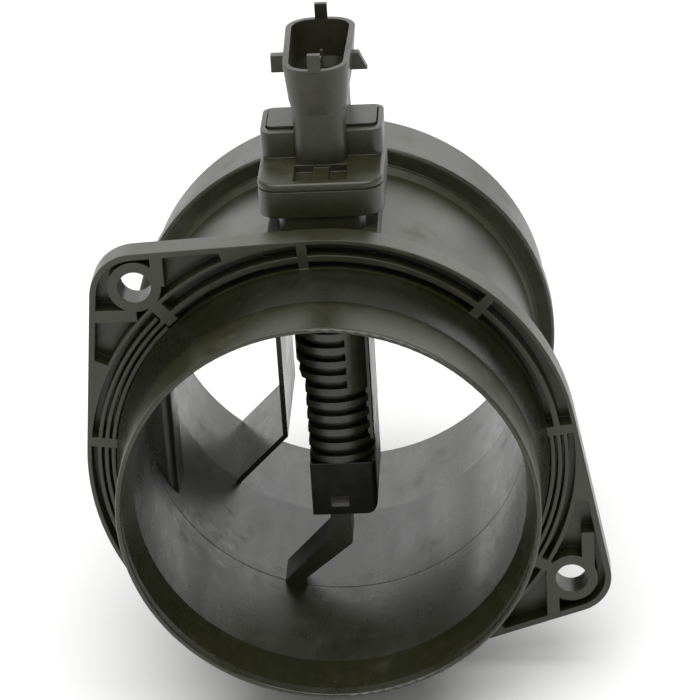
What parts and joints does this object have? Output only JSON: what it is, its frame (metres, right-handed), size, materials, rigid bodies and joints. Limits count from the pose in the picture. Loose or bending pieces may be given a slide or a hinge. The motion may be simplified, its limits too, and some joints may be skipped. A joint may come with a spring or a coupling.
{
  "type": "mass airflow sensor",
  "caption": "Round flanged air duct with a plug-in mass airflow sensor: a ribbed fin in the air stream, and an upright socket for the wiring plug.",
  "frame": {"origin": "on the duct's axis, in the plane of the flange's front face", "axes": "+Y along the duct from the flange to the hose end, +Z from the duct's axis to the wiring connector, +X to the right seen from the front"},
  "size_m": [0.1065, 0.1019, 0.1309],
  "materials": {
    "duct_plastic": "satin moulded glass-filled polymer, black",
    "sensor_plastic": "satin moulded polymer, black",
    "connector_plastic": "satin moulded polymer, black",
    "cover_plastic": "smooth moulded polymer, black",
    "seal_rubber": "smooth black elastomer",
    "contact_metal": "bright tinned strip",
    "carrier_metal": "plain rolled sheet",
    "board_ceramic": "off-white ceramic circuit board",
    "chip_black": "moulded chip package",
    "capacitor_body": "ceramic capacitor, brown",
    "silicon": "polished silicon chip",
    "bead_glass": "fused glass bead on fine wire",
    "soft_gel": "clear protective gel"
  },
  "bodies": {
    "root": {"duct_housing": "duct_plastic", "sensor_housing": "sensor_plastic", "connector_housing": "connector_plastic", "electronics_cover": "cover_plastic", "bypass_cover": "cover_plastic", "seal_ring": "seal_rubber", "carrier_plate": "carrier_metal", "circuit_board": "board_ceramic", "signal_chip": "chip_black", "chip_carrier": "cover_plastic", "sensing_chip": "silicon", "air_temperature_sensor": "bead_glass", "bond_wires": "carrier_metal", "protective_gel": "soft_gel", "terminal_1": "contact_metal", "terminal_2": "contact_metal", "terminal_3": "contact_metal", "terminal_4": "contact_metal", "terminal_5": "contact_metal", "capacitor_1": "capacitor_body", "capacitor_2": "capacitor_body", "capacitor_3": "capacitor_body"}
  },
  "joints": []
}
